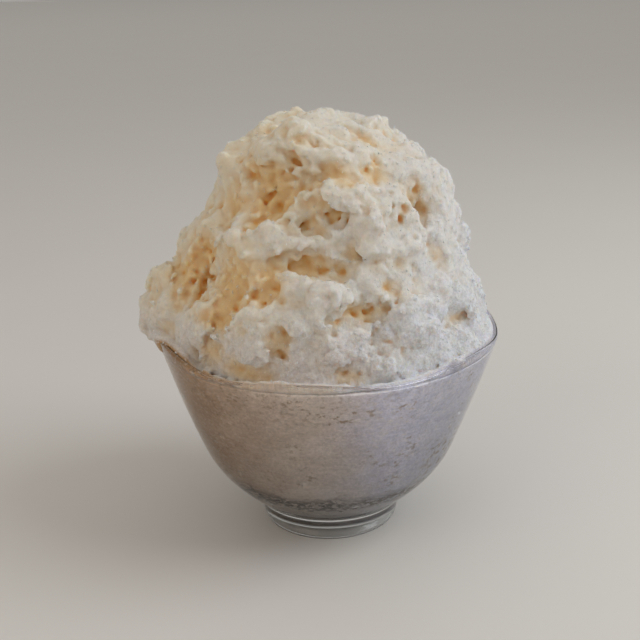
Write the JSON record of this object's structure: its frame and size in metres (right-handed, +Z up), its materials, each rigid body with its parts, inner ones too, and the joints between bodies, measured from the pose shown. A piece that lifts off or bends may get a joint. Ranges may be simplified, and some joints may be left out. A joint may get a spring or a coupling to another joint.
{
  "type": "shaved ice dessert",
  "caption": "Tall heap of milky shaved ice that fills a clear glass bowl with a ring foot and spills a little over its wavy rim.",
  "frame": {"origin": "on the surface that the bowl stands on, below the middle of the object's box; the bowl's own axis is 3.8 mm towards +X, because the ice hangs over the rim on the -X side", "axes": "+Z up, -Y towards the viewer, +X to the viewer's right"},
  "size_m": [0.1376, 0.13, 0.1612],
  "materials": {
    "clear_glass": "clear colourless glass, smooth and glossy, about 2 mm thick with a rounded rim",
    "milky_ice": "fluffy shaved ice soaked with ivory milk syrup: matte and translucent, icy white at the right, warm cream with amber hollows at the left"
  },
  "bodies": {
    "root": {"bowl": "clear_glass", "shaved_ice": "milky_ice"}
  },
  "joints": []
}
